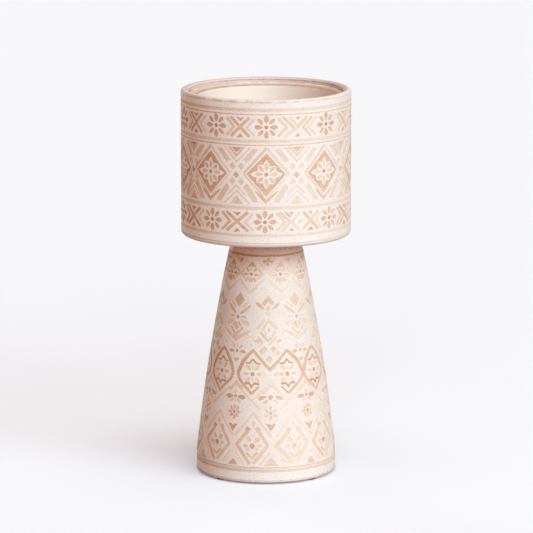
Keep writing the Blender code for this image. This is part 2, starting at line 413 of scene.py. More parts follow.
def cross_with_chevrons(arm, near):
    """A diagonal cross with small triangles over and under it, between chevrons."""
    return [
        strip([(-arm - 6.8, 12.8), (-0.68 * arm, -0.2), (-arm - 7.6, -13.2)], 4.2, near),
        strip([(arm + 7.6, 11.8), (0.7 * arm, -1.2), (arm + 7.4, -12.8)], 3.7, 0.42),
        strip([(-arm, 14), (arm, -14)], 4.6, 0.78),
        strip([(-arm, -14), (arm, 14)], 4.6, 0.74),
        ([(-6, 14.2), (0.4, 7.8), (6.4, 14.2), (2.4, 13.8), (0.6, 12.2), (-1.4, 13.8)], 0.95),
        ([(-5.4, -15), (-0.6, -15.8), (1.6, -14.4), (5.2, -15), (0.2, -8.8)], 0.92),
    ]


# A flower with bare edges, long petals to the sides and shorter ones up and down
FLOWER = [
    (turned_by(leaf((1, 0), (reach, 0), 10, 0.85, BARE, lean=0.95)[0], 90 * k), BARE)
    for k, reach in enumerate((24, 21.8, 24, 21.8))
]
FLOWER += quarters(([(0, 0), (14.2, 4.8), (14.6, 10.2), (13.2, 12.4), (10.4, 13), (4.8, 12.8)], BARE))
FLOWER += quarters(
    leaf((4.8, 0), (17.2, 0), 5.6, 0.7, 0.58),
    leaf((4.2, 4.4), (12.6, 11.2), 5.2, 0.55, 0.68),
)
FLOWER.append(dot(3, 1.12))
FLOWER_SHIFT = 0.4


def lozenge_with_flower(left_bars, right_bars):
    """The drum's main motif: a dark lozenge with a bare-edged flower, in an outline, with slanting bars."""
    chevron = [(-17.2, -23.2), (-12.8, -25.6), (0.4, -37), (13.8, -25.8), (18.2, -23.4)]
    chevron += [(15.2, -28.6), (0, -42.8), (-12.6, -30.8)]
    upper_bar = [(-20.6, 37), (-34, 20.4), (-27.2, 16.4), (-11.6, 37)]
    lower_bar = [(-33.4, -19.4), (-19.2, -41.4), (-10.6, -40.8), (-21.2, -23), (-28, -13.8)]
    return [
        strip([(-32.8, 0.4), (0.4, 38.6)], 4.4, 0.64),
        strip([(0.4, 38.6), (33.4, 0.6)], 2.8, 0.5),
        strip([(-32.6, 0.2), (-2.6, -32.8)], 3.6, 0.6),
        strip([(32.8, 0.4), (3.2, -32.2)], 3, 0.34),
        diamond(31.6, 34.8, BARE),
        (chevron, 0.76),
        ([(28.8, 0.2), (0.6, 31.4), (-29, 0), (0.4, -32.2)], 0.92),
        *[(moved(outline, FLOWER_SHIFT, 0), tone) for outline, tone in FLOWER],
        *pair((upper_bar, left_bars), right_bars),
        *pair((lower_bar, left_bars), right_bars),
    ]


def between_lozenges(worn):
    """A dark diamond among four light ones, with nested triangles over and under it."""
    middling = (1 + worn) / 2
    return [
        diamond(4.8, 5, 0.84 * middling, -0.6, -1.4),
        ([(-13.6, 38.8), (0.2, 24.2), (12.4, 38.8)], 0.7 * middling),
        strip([(-8.8, 38.8), (0.2, 29.4), (9, 38.8)], 1.5, 0.25),
        ([(-5.8, 38.6), (0.2, 32.2), (6, 38.6)], 0.9 * middling),
        strip([(-19.6, 38.6), (0, 17.4), (20.4, 38.6)], 1.6, 0.6),
        strip([(-16.2, 38.6), (-2.2, 23.4)], 1, 0.5),
        ([(-9.6, -43.4), (10, -43.4), (0, -31)], 0.62 * worn),
        strip([(-5.2, -42), (0.2, -35.4), (5.6, -42)], 1.2, 0.25),
        strip([(-18.6, -42.8), (0.6, -24.4), (19.8, -42.8)], 1.8, 0.55 * worn),
        strip([(-13.4, -30.4), (-0.2, -16.6), (12.4, -30)], 2.6, 0.44 * worn),
        *pair(diamond(5.1, 5.8, 0.5 * worn, 6.6, 11)),
        *pair(diamond(5.1, 5.8, 0.5 * worn, 6.6, -11)),
    ]


# Motifs of the pedestal, from its neck down

# A rosette in an open lozenge with a notched cap and a chevron under it
NOTCHED_CAP = [(0.8, 18.9), (-6.4, 11), (-3.4, 9.2), (-1, 12.4), (0.4, 8.8), (2, 12.4), (4.2, 9.8), (7, 11.6)]
BRACKET = [(10.4, 9.6), (19.6, 0.6), (9.6, -8.6), (8.4, -6), (13.4, 0.4), (9.4, 6.8)]
STARRED_LOZENGE = [
    *pair(strip([(19.6, 7.4), (6.2, 23.4)], 2.4, 0.36), 0.34),
    *pair(strip([(18.6, -7.8), (9, -17)], 2.8, 0.36), 0.38),
    *pair((BRACKET, 0.56), 0.46),
    *pair(leaf((3.6, -0.4), (12.6, -0.8), 3.8, 0.75, 0.9), 0.84),
    *pair(leaf((3.2, 3.2), (8, 9.4), 3, 0.7, 0.9)),
    *pair(leaf((3.6, -3.6), (8.2, -11.2), 3.6, 0.65, 0.86)),
    *pair(leaf((0.4, -4), (2.8, -12.4), 4, 0.55, 0.76)),
    *pair(leaf((0.6, 4), (1.8, 8.2), 1.9, 0.6, 0.5)),
    (NOTCHED_CAP, 0.86),
    dot(2.5, 1.25),
    strip([(-9.8, -17.6), (-0.4, -26.2), (11.4, -16.8)], 4.6, 0.42),
    strip([(-15.8, -13.4), (-11.6, -17.2)], 3.2, 0.44),
]

# A small cross of four leaves under the neck line
FOUR_LEAF = [
    leaf((0.8, 0), (-7.6, -0.4), 5.2, 0.55, 1.02),
    leaf((0.2, 0), (8.8, -0.4), 4, 0.75, 1),
    leaf((0.8, 0.6), (1.4, 5.4), 4.4, 0.45, 1),
    leaf((0.2, -0.8), (0.2, -7.4), 4.4, 0.55, 0.92),
]

# A small notched triangle that points down
DROP = [([(-6.8, 3.2), (-2, 2), (0.4, 3.8), (3.8, 3), (0.4, -4.4)], 0.9)]

# A notched cap over two small diamonds, between two leaves
PALMETTE = [
    ([(0.2, 8.2), (-9.8, -3.8), (-5.6, -8.2), (0.2, -1.6), (5.4, -7.6), (9.2, -3.4)], 0.74),
    diamond(4.4, 4.9, 0.58, -0.4, -11.2),
    diamond(4.9, 4.4, 0.34, -0.2, -18.8),
    leaf((-5.6, -13.4), (-19, -1.8), 5.4, 0.65, 0.8),
    leaf((4.8, -13.6), (17.4, -3.4), 5.2, 0.65, 0.74),
]

# A diamond over fanned leaves, a dot, drooping leaves and nested chevrons
BOUQUET = [
    strip([(-28, -48.6), (-0.4, -65), (28, -48.6)], 2.2, 0.24),
    ([(-24.6, -41), (-0.4, -52.6), (24.6, -41), (20.6, -46.4), (-0.4, -60.4), (-21, -46.4)], 0.5),
    strip([(-10.6, -39.8), (-0.4, -50.4), (10.6, -39.4)], 3.4, 0.6),
    ([(8.9, -0.2), (0.2, 10.4), (-8.9, 0), (0, -11.4)], 0.72),
    *pair(strip([(5, -11.6), (14.6, -3)], 3.4, 0.5)),
    *pair(leaf((2.6, -20.8), (19.6, -7.4), 4.2, 0.36, 0.72)),
    *pair(leaf((9.4, -20.2), (18.6, -13.8), 2.8, 0.5, 0.28)),
    *pair(leaf((4.6, -24.4), (14.4, -24.2), 3, 0.5, 0.74, lean=1.6)),
    *pair(leaf((3.8, -28), (20.8, -36.6), 6.8, 0.55, 0.42, lean=1.4)),
    *pair(strip([(2, -32.2), (6.4, -37.4)], 2.6, 0.78)),
    dot(2.6, 1, -25),
    diamond(4.5, 5.2, 0.6, -0.4, -39.6),
]

# Lozenges in one another round a small diamond, with chevrons and side diamonds under them
NESTED_LOZENGE = [
    strip([(-4.6, 15.4), (-17.2, 1)], 4, 0.45),
    strip([(6.4, 12.4), (15.4, 1)], 3, 0.34),
    strip([(-8.6, 0.4), (0.6, 14.2), (12.2, 0.6)], 3.6, 0.54),
    strip([(-11.8, -2.4), (-0.2, -16.6)], 3.6, 0.6),
    strip([(10, -2.2), (1.2, -14.8)], 3.8, 0.52),
    strip([(-6.4, -0.6), (-2.2, -8.8)], 2, 0.38),
    strip([(-15.4, -9.6), (-7.4, -18.2)], 2.2, 0.6),
    strip([(13, -9), (0.8, -21)], 2.3, 0.58),
    diamond(2, 3.3, 0.68, 1, 0.4),
    ([(-21.8, -15.8), (-14.6, -11.6), (-9.4, -16.2), (-15, -19.4)], 0.6),
    ([(9.4, -17.6), (15.4, -12.2), (20.8, -15.8), (14.8, -18.8)], 0.58),
]

# A handful of small diamonds over the junction of two medallions
CHECKS = [
    strip([(-9.4, 8.8), (-17.8, 0.8)], 2, 0.36),
    strip([(10.8, 6), (18.8, 0.6)], 2, 0.28),
    ([(-7, 4.4), (-15.4, -3.2), (-10, -8.4), (-2, -0.2)], 0.64),
    strip([(-6, -0.8), (-9.4, -4.2)], 1.4, BARE),
    diamond(5.2, 4.9, 0.62, 6.6, 0.2),
    diamond(4.6, 4, 0.57, 12.8, -5.4),
    diamond(5.2, 5.8, 0.67, 0.4, -14.4),
    diamond(3.2, 3.6, 0.32, -27, 5.4),
    diamond(3, 3.2, 0.26, 27, 6.6),
]

# A flower cut by the outlines under it, over a small heart
LOW_HEART = [(-4.6, 1.6), (-3, -1.8), (0, -3.2), (3.2, -1.2), (4.4, 2.4), (1.6, 2.6), (0.2, 0.6), (-1.8, 2.2)]
HALF_FLOWER = [
    dot(2.3, 1, -4),
    (moved(LOW_HEART, 0, -16.6), 0.85),
    *pair(leaf((3.6, -4.6), (14.8, -4.8), 5, 0.8, 0.9)),
    *pair(leaf((2.8, -1.4), (8.8, 5.4), 3.6, 0.75, 0.66)),
    *pair(leaf((2.8, -6.8), (6.8, -10.8), 2.8, 0.7, 0.42)),
    leaf((0, -0.4), (0, 6.4), 3, 0.7, 0.55),
]

# A flower between brackets, for the medallions
BRACKETED_FLOWER = [
    strip([(-11, 15.4), (-5, 15.8), (0.2, 21.4), (5.2, 15.6), (11.4, 15.4)], 2.4, 1.15),
    strip([(-11.6, -14), (-4.6, -13), (-0.6, -18.2), (3.4, -13), (10.8, -14.2)], 3, 1.15),
    dot(3.1, 1.15),
    leaf((0, 4.6), (0, 13.2), 3.2, 0.7, 0.4),
    leaf((0, -4.6), (0, -12.2), 3, 0.7, 0.34),
    *pair(leaf((4.8, 0), (14.2, 0.2), 4.8, 0.75, 0.6)),
    *pair(leaf((2.8, 5), (9.8, 13), 5.4, 0.65, 0.58)),
    *pair(leaf((3.2, -4.6), (10.6, -12), 5.4, 0.65, 0.52)),
]


def medallion(open_side, breadth):
    """A bracketed flower in an ogee outline, which may be open towards its right neighbour."""
    upper = [(-0.6, 34.2), (-5.8, 29.2), (-14.4, 18.6), (-18.8, 9.2), (-22.6, 0.2)]
    lower = [(-22.6, 0.2), (-19.6, -8.4), (-13.4, -15.2), (-5.8, -22), (0, -28.8)]
    upper_widths = [4, 5, 5.8, 5.6, 5.2]
    lower_widths = [5, 4.6, 4.4, 4.4, 3.8]
    upper = [(x * breadth, z) for x, z in upper]
    lower = [(x * breadth, z) for x, z in lower]
    if open_side:
        outline = [
            strip(lower, lower_widths, 0.88),
            strip([(26.2, 6.2)] + upper, [4.6] + upper_widths, 0.9),
            strip([(0.6, -27.6), (5, -22.6), (10.6, -17.4)], 3, 0.94),
            strip([(14.2, 3.8), (19.4, -0.2), (15.4, -3.6)], 1.9, 0.5),
        ]
    else:
        outline = [
            strip(lower + mirrored(lower)[-2::-1], lower_widths + lower_widths[-2::-1], 0.88),
            strip(mirrored(upper)[:0:-1] + upper, upper_widths[:0:-1] + upper_widths, 0.9),
        ]
    return outline + BRACKETED_FLOWER


# Crossing strips under a medallion
LATTICE = [
    strip([(-17.4, 10.4), (12.8, -17.2)], 3, 0.44),
    strip([(17.8, 12.4), (0.4, -6.2)], 2.6, 0.32),
    strip([(-0.6, -8.6), (-14.6, -22)], 2.3, 0.25),
]

# A thick chevron over the side flowers, and one in a thin one over the middle flower
LOW_ROOF = [strip([(-11.4, -3.4), (0.4, 8.2), (10.6, -2.2)], 5, 0.56)]
HIGH_ROOF = [
    strip([(-20.2, -14.2), (0.4, 12.8), (20.2, -14.2)], 2.8, 0.26),
    strip([(-11.8, -6.4), (0.4, 5.6), (13.6, -5.4)], 4.4, 0.38),
]

# A dot with two broad leaves, a leaf on top and smaller ones under it
SIDE_FLOWER = [
    dot(2.5, 1),
    leaf((0, 2.4), (0.2, 9.2), 4.6, 0.6, 0.62),
    *pair(leaf((3.4, -0.2), (17.2, -1.4), 6.8, 0.68, 0.97), 0.93),
    *pair(leaf((2.4, -2.8), (9.2, -9.6), 4.6, 0.6, 0.58)),
    leaf((0, -3.2), (0, -8.8), 2.8, 0.6, 0.48),
]

# A dot with two broad leaves that hang a little and two smaller ones under them
MIDDLE_FLOWER = [
    dot(3.5, 1),
    leaf((-5.4, 1.8), (-18.4, -3), 5.8, 0.72, 0.82),
    leaf((6, 1.6), (19.8, -3.2), 5.4, 0.72, 0.8),
    leaf((-3.8, -3.4), (-11.2, -9.2), 4.2, 0.6, 0.68),
    leaf((4.4, -3.4), (11.8, -9.2), 3.9, 0.6, 0.5),
]


def small_rosette(tone, petals):
    """A dot and six or eight short petals."""
    petal, _ = leaf((3, 0), (10.8, 0), 4.6, 0.6, tone)
    ring = [(turned_by(petal, 90 + 360 * k / petals), tone) for k in range(petals)]
    return ring + [dot(2.4, tone + 0.35)]


def heart(tone, rise):
    """A notched triangle that points down."""
    return [(moved([(-7.8, 5.8), (0, -6.2), (7.8, 5.8), (3, 5.4), (0, 2.8), (-3, 5.4)], 0, rise), tone)]


def open_lozenge(width, left):
    """A rosette in four thick strips, with a leaf on top and faint strips outside."""
    left_head = [(-11.2, 23.2), (-9.6, 28.2), (-6.4, 27.2), (-2, 25.4), (-4, 22.2), (-8.4, 20.6)]
    right_head = [(3, 25.4), (6.8, 28.2), (10.8, 27), (11.6, 21.6), (7.4, 20.4)]
    return [
        strip([(-28, 13.2), (0, 47.6), (28, 13.2)], 4.6, 0.36),
        strip([(-7.2, 22.2), (left, 1), (-3.4, -26)], width, 0.68),
        strip([(6, 25.2), (22.8, 1.2), (2.2, -25.6)], width, 0.6),
        (left_head, 0.8),
        (right_head, 0.68),
        leaf((0, 27), (0.4, 36.6), 6.4, 0.45, 0.44),
        dot(3.9, 0.98),
        leaf((-6, 0), (-13.8, 0), 5.4, 0.5, 0.66),
        leaf((6.4, 0.4), (14.2, 0), 5.4, 0.5, 0.5),
        leaf((-2.6, 5.4), (-8.2, 13.4), 6.2, 0.5, 0.56),
        leaf((2.8, 5.2), (9.6, 12.4), 6.6, 0.5, 0.58),
        leaf((0, 12.4), (0, 17.2), 3.2, 0.6, 0.34),
        strip([(-8.6, -9.8), (-0.8, -17.4)], 3.6, 0.64),
        strip([(8.6, -8.6), (0, -17.6)], 3.8, 0.7),
        strip([(0, -18), (0, -23.4)], 1.8, 0.4),
        *pair(leaf((4.2, -2.6), (9.4, -6.4), 3.8, 0.5, 0.48)),
        *pair(strip([(26.8, -8), (12.6, -27)], 2.9, 0.36)),
        *pair(strip([(31.4, -9.6), (18.6, -27)], 1.7, 0.28)),
    ]


# Triangles on the foot line, without and with a bare line in them
LOW_TRIANGLE = [([(-8.4, 0), (8.4, 0), (0, 9.6)], 0.8)]
HIGH_TRIANGLE = [
    ([(-10.8, 0), (10.8, 0), (0, 12)], 0.6),
    strip([(-5.8, 1.8), (0, 8.2), (5.8, 1.8)], 1.3, 0.25),
]


# Drawings: all the shapes of one wall, later ones over earlier ones

class Drawing:
    """The flat ornament of one wall. A full turn of the wall is turn long on the drawing."""

    def __init__(self, turn, stretch, field, seed):
        self.turn = turn
        self.stretch = stretch
        self.field = field
        self.draw = random.Random(seed)
        self.shapes = []

    def wandered(self, x, z):
        """A point moved a little, as a hand would move it. It agrees on both sides of the seam."""
        angle = 2 * math.pi * x / self.turn
        radius = self.turn / (2 * math.pi)
        place = Vector((radius * math.sin(angle), radius * math.cos(angle), z)) / WANDER_LENGTH
        shift = noise.noise_vector(place) * WANDER
        return x + shift.x, z + shift.y

    def fine(self, outline):
        """An outline with points close together, so that it follows the round wall."""
        points = []
        for (ax, az), (bx, bz) in zip(outline, outline[1:] + outline[:1]):
            steps = max(1, math.ceil(math.hypot(bx - ax, bz - az) / OUTLINE_STEP))
            points += [(ax + (bx - ax) * k / steps, az + (bz - az) * k / steps) for k in range(steps)]
        return points

    def add(self, outline, tone):
        points = [self.wandered(x, z) for x, z in self.fine(outline)]
        self.shapes.append((points, tone))

    def place(self, motif, x, z, mirror=False, faint=1.0):
        """Puts a motif at a place, slightly turned and sized by hand. Over the seam it is put down twice."""
        x = (x + self.turn / 2) % self.turn - self.turn / 2
        tilt = self.draw.uniform(-HAND_TILT, HAND_TILT)
        size = self.draw.uniform(1 - HAND_SIZE, 1 + HAND_SIZE)
        strength = faint * self.draw.uniform(1 - HAND_TONE, 1 + HAND_TONE)
        for outline, tone in motif:
            flat = mirrored(outline) if mirror else outline
            flat = turned_by(flat, tilt)
            flat = [(x + px * size * self.stretch(z + pz), z + pz * size) for px, pz in flat]
            shifts = [0.0]
            if min(p[0] for p in flat) < -self.turn / 2:
                shifts.append(self.turn)
            if max(p[0] for p in flat) > self.turn / 2:
                shifts.append(-self.turn)
            for shift in shifts:
                self.add(moved(flat, shift, 0.0), tone * strength)

    def stripe(self, low, high, tone):
        """A band all the way round."""
        steps = round(self.turn / OUTLINE_STEP)
        rounds = [self.turn * (k / steps - 0.5) for k in range(-2, steps + 3)]
        lower = [self.wandered(x, low) for x in rounds]
        upper = [self.wandered(x, high) for x in reversed(rounds)]
        self.shapes.append((lower + upper, tone))

    def specks(self, low, high, count, size, tone):
        """Small ragged marks, scattered over a band."""
        for _ in range(count):
            z = self.draw.uniform(low, high)
            half = size * self.draw.uniform(*SPECK_SIZES)
            x = self.draw.uniform(-0.5, 0.5) * (self.turn - SPECK_CLEARANCE * half)
            edges = [self.draw.uniform(*SPECK_EDGES) for _ in range(SPECK_POINTS)]
            mark = []
            for edge, (px, pz) in zip(edges, disc(half, SPECK_POINTS)):
                mark.append((x + edge * px * self.stretch(z), z + SPECK_FLATNESS * edge * pz))
            self.add(mark, tone * self.draw.uniform(*SPECK_TONES))


def round_the_back(front, count, turn):
    """The places at the front, as they are seen, and even ones that fill the rest of the turn."""
    missing = count - len(front)
    step = (turn - (front[-1] - front[0])) / (missing + 1)
    return front + [front[-1] + step * (k + 1) for k in range(missing)]


def gaps(places, turn):
    """The middle and the width of each gap between places that go round."""
    following = places[1:] + [places[0] + turn]
    return [((a + b) / 2, b - a) for a, b in zip(places, following)]


# The drum's rows. A field is its lower edge, upper edge and haze.
DRUM_TURN = 2 * math.pi * DRUM_RADIUS
DRUM_REPEATS = 9
DRUM_FIELD = (378.0, 554.0, 1.0)
UPPER_FRIEZE, LOWER_FRIEZE, MAIN_FIELD = 533.0, 395.0, 464.5
UPPER_ROSETTES = [-158.0, -76.6, 0.4, 95.4, 180.0]
LOWER_ROSETTES = [-165.0, -83.8, -1.6, 102.4, 184.0]
LOZENGES = [-161.0, -87.0, 0.0, 91.2, 171.0]
WORN_GAP, WORN_TONE = 2, 0.75
LEFT_BARS, WORN_LEFT_BARS = 0.57, 0.5
RIGHT_BARS, WORN_RIGHT_BARS = 0.54, 0.48
TWIN_SHIFT = -2.4
WIDE_GAP = 92.0
WIDEST_GAP = 100.0

# Friezes: height, rosettes, reach of a cross, tone of its left chevron, strength of crosses and of rosettes
FRIEZES = [
    (UPPER_FRIEZE, UPPER_ROSETTES, 13.8, 0.58, 1.0, 1.1),
    (LOWER_FRIEZE, LOWER_ROSETTES, 16.4, 0.68, 1.14, 0.97),
]

# Stripes: lower edge, upper edge and tone. Specks: lower edge, upper edge, count, size and tone.
DRUM_STRIPES = [
    (555.0, 559.8, 0.52),
    (550.4, 552.0, 0.75),
    (510.0, 514.6, 0.46),
    (506.0, 507.6, 0.75),
    (412.6, 417.4, 0.46),
    (372.6, 376.8, 0.44),
    (362.9, 364.2, 0.6),
]
DRUM_SPECKS = [(561.0, 567.0, 110, 0.8, 0.8), (364.4, 372.0, 90, 0.8, 0.8), (378.0, 553.0, 260, 0.6, 0.7)]


def draw_drum():
    """Two friezes of rosettes and crosses, with a field of lozenges between them."""
    drawing = Drawing(DRUM_TURN, lambda z: 1.0, DRUM_FIELD, seed=11)
    for low, high, tone in DRUM_STRIPES:
        drawing.stripe(low, high, tone)
    for level, front, arm, near, depth, rosette_depth in FRIEZES:
        places = round_the_back(front, DRUM_REPEATS, DRUM_TURN)
        for middle, width in gaps(places, DRUM_TURN):
            if width > WIDEST_GAP:
                drawing.place(TWIN_CROSSES, middle + TWIN_SHIFT, level)
            elif width > WIDE_GAP:
                drawing.place(WIDE_CROSS, middle, level)
            else:
                drawing.place(cross_with_chevrons(arm, near), middle, level, faint=depth)
        for x in places:
            drawing.place(ROSETTE, x, level, faint=rosette_depth)
    places = round_the_back(LOZENGES, DRUM_REPEATS, DRUM_TURN)
    for k, (middle, _) in enumerate(gaps(places, DRUM_TURN)):
        drawing.place(between_lozenges(WORN_TONE if k == WORN_GAP else 1.0), middle, MAIN_FIELD)
    for k, x in enumerate(places):
        left_bars = WORN_LEFT_BARS if k == WORN_GAP + 1 else LEFT_BARS
        right_bars = WORN_RIGHT_BARS if k == WORN_GAP else RIGHT_BARS
        drawing.place(lozenge_with_flower(left_bars, right_bars), x, MAIN_FIELD)
    for low, high, count, size, tone in DRUM_SPECKS:
        drawing.specks(low, high, count, size, tone)
    return drawing


def pedestal_wall(z):
    """Outer radius of the pedestal: a straight foot band, then a taper with a slight swell."""
    share = max(0.0, min(1.0, (z - BAND_TOP) / (NECK_TOP - BAND_TOP)))
    return FOOT_RADIUS + (NECK_RADIUS - FOOT_RADIUS) * share + 4 * SIDE_SWELL * share * (1 - share)


# The pedestal's rows: heights, and columns in degrees from the front middle
PEDESTAL_TURN = 500.0
PEDESTAL_REPEATS = 10
PEDESTAL_FIELD = (27.0, 330.0, 1.4)
# Painted shade of the drum on the upper pedestal grows between these two heights
NECK_SHADOW_SPAN = (270.0, 334.0)
PEDESTAL_HAZE = 0.5
PEDESTAL_WEAR = 0.1
NECK_SHADOW_TINT, NECK_SHADOW_BROWN = 2.2, 0.22
WEAR_CYCLE, WORN_COLUMN, OPEN_COLUMNS = 5, 2, (1, 2)
WORN_FAINT, WORN_BREADTH = 0.7, 1.18
TOP_FADE = 0.3
TOP_ROW, TOP_COLUMNS = 305.4, [-55.6, -21.2, 20.6, 56.4]
LEAF_ROW, LEAF_COLUMNS = 324.4, [-39.0, 2.4, 36.0]
PLUME_ROW, PLUME_COLUMNS = 268.0, [-34.8, 2.6, 38.4]
NEST_ROW, NEST_COLUMNS = 225.6, [-33.2, 2.5, 38.3]
CHECK_ROW, CHECK_COLUMNS = 198.0, [-31.7, 3.0, 38.3]
MEDALLION_ROW, MEDALLION_COLUMNS = 161.6, [-49.0, -13.4, 21.4, 55.0]
LATTICE_ROW = 128.4
ROOF_ROW = 140.0
FLOWER_ROW, FLOWER_COLUMNS = 128.2, [-29.7, 4.1, 40.6]
STAR_ROW = 105.4
HEART_ROW, HEART_COLUMNS = 83.6, [-30.2, 4.2, 41.0]
LOZENGE_ROW, LOZENGE_COLUMNS = 57.0, [-46.0, -11.8, 24.2, 57.6]
TRIANGLE_ROW, TRIANGLE_COLUMNS = 28.2, [-28.2, 4.2, 39.8]
PEDESTAL_STRIPES = [
    (330.8, 333.6, 1.1),
    (25.0, 26.1, 0.88),
    (23.2, 23.9, 0.8),
    (18.5, 22.0, 0.62),
    (5.2, 6.4, 0.4),
]
PEDESTAL_SPECKS = [
    (338.0, 344.0, 60, 1.8, 0.6),
    (334.0, 344.0, 60, 0.8, 0.9),
    (6.0, 17.0, 90, 0.8, 0.8),
    (4.0, 6.0, 60, 1.8, 0.9),
    (27.0, 328.0, 260, 0.6, 0.7),
]


def draw_pedestal():
    """Rows of lozenges, plumes, medallions and flowers. Every second column between them differs."""

    def stretch(z):
        return PEDESTAL_TURN / (2 * math.pi * pedestal_wall(z))

    drawing = Drawing(PEDESTAL_TURN, stretch, PEDESTAL_FIELD, seed=23)
    for low, high, tone in PEDESTAL_STRIPES:
        drawing.stripe(low, high, tone)

    def columns(front):
        return [angle / 360 * PEDESTAL_TURN for angle in round_the_back(front, PEDESTAL_REPEATS, 360.0)]

    def row(front, z, even, odd):
        """Places motifs in every column, even ones from the first column on and odd ones between them."""
        for k, x in enumerate(columns(front)):
            drawing.place(odd if k % 2 else even, x, z)

    def worn(k):
        """One column in five is worn, as the one to the right of the middle is."""
        return k % WEAR_CYCLE == WORN_COLUMN

    for k, x in enumerate(columns(TOP_COLUMNS)):
        drawing.place(STARRED_LOZENGE, x, TOP_ROW, faint=WORN_FAINT ** TOP_FADE if worn(k) else 1.0)
    row(LEAF_COLUMNS, LEAF_ROW, DROP, FOUR_LEAF)
    row(PLUME_COLUMNS, PLUME_ROW, BOUQUET, PALMETTE)
    row(NEST_COLUMNS, NEST_ROW, [], NESTED_LOZENGE)
    row(CHECK_COLUMNS, CHECK_ROW, HALF_FLOWER, CHECKS)
    for k, x in enumerate(columns(MEDALLION_COLUMNS)):
        drawing.place(LATTICE, x, LATTICE_ROW, mirror=k % 2 == 0)
    row(FLOWER_COLUMNS, ROOF_ROW, LOW_ROOF, HIGH_ROOF)
    for k, x in enumerate(columns(MEDALLION_COLUMNS)):
        shape = medallion(k % WEAR_CYCLE in OPEN_COLUMNS, WORN_BREADTH if worn(k) else 1.0)
        drawing.place(shape, x, MEDALLION_ROW, mirror=worn(k))
    row(FLOWER_COLUMNS, FLOWER_ROW, SIDE_FLOWER, MIDDLE_FLOWER)
    row(FLOWER_COLUMNS, STAR_ROW, small_rosette(0.7, 8), small_rosette(0.58, 6))
    row(HEART_COLUMNS, HEART_ROW, heart(0.87, -1), heart(0.86, 1))
    for k, x in enumerate(columns(LOZENGE_COLUMNS)):
        shape = open_lozenge(6.6, -27.2) if worn(k) else open_lozenge(5.3, -23.8)
        drawing.place(shape, x, LOZENGE_ROW, faint=WORN_FAINT if worn(k) else 1.0)
    row(TRIANGLE_COLUMNS, TRIANGLE_ROW, LOW_TRIANGLE, HIGH_TRIANGLE)
    for low, high, count, size, tone in PEDESTAL_SPECKS:
        drawing.specks(low, high, count, size, tone)
    return drawing


# Walls with their ornament cut in

def flat_triangles(drawing, low, high):
    """The drawing between two heights as triangles with tones, and which points lie clear of outlines."""
    half = drawing.turn / 2
    points, edges, faces = [], [], []
    near = set()

    def cell(x, z):
        return round(x / CLEAR_OF_OUTLINE), round(z / CLEAR_OF_OUTLINE)

    for outline, _ in drawing.shapes:
        first = len(points)
        area = sum(a[0] * b[1] - b[0] * a[1] for a, b in zip(outline, outline[1:] + outline[:1]))
        points += outline if area > 0 else outline[::-1]
        faces.append(list(range(first, len(points))))
        for x, z in outline:
            i, j = cell(x, z)
            near.update((i + di, j + dj) for di in (-1, 0, 1) for dj in (-1, 0, 1))
    rows = math.ceil((high - low) / GRID)
    for z in (low, high):
        first = len(points)
        points += [(drawing.turn * (k / COLUMNS - 0.5), z) for k in range(COLUMNS + 1)]
        edges += [(first + k, first + k + 1) for k in range(COLUMNS)]
    for x in (-half, half):
        first = len(points)
        points += [(x, low + (high - low) * k / rows) for k in range(rows + 1)]
        edges += [(first + k, first + k + 1) for k in range(rows)]
    first_clear = len(points)
    across = round(drawing.turn / GRID)
    for j in range(1, rows):
        z = low + (high - low) * j / rows
        for k in range(1, across):
            x = drawing.turn * ((k + 0.5 * (j % 2)) / across - 0.5)
            if abs(x) < half - SEAM_MARGIN and cell(x, z) not in near:
                points.append((x, z))
    flat = [Vector(p) for p in points]
    found, _, triangles, origins, _, sources = delaunay_2d_cdt(flat, edges, faces, 0, NO_DISTANCE, True)
    kept = []
    for corners, shapes in zip(triangles, sources):
        middle = sum((found[k] for k in corners), Vector((0.0, 0.0))) / 3
        if abs(middle.x) < half and low < middle.y < high:
            kept.append((corners, drawing.shapes[max(shapes)][1] if shapes else BARE))
    clear = [any(k >= first_clear for k in from_points) for from_points in origins]
    return found, kept, clear


def plain_shade(z, haze_and_shade):
    return {"haze_and_shade": haze_and_shade}


def painted_neck_shadow(z, haze_and_shade):
    """Painted shade of the drum on the upper pedestal: the slip is tinted and browned more towards the neck
    band, and slightly all over the wall above the foot band.
    """
    low, high = NECK_SHADOW_SPAN
    if z < BAND_TOP or z > high:
        return plain_shade(z, haze_and_shade)
    share = max(0.0, (z - low) / (high - low))
    hazy = max(haze_and_shade, PEDESTAL_HAZE, NECK_SHADOW_TINT * share)
    return {"haze_and_shade": hazy, "wear_and_shade": max(PEDESTAL_WEAR, NECK_SHADOW_BROWN * share)}


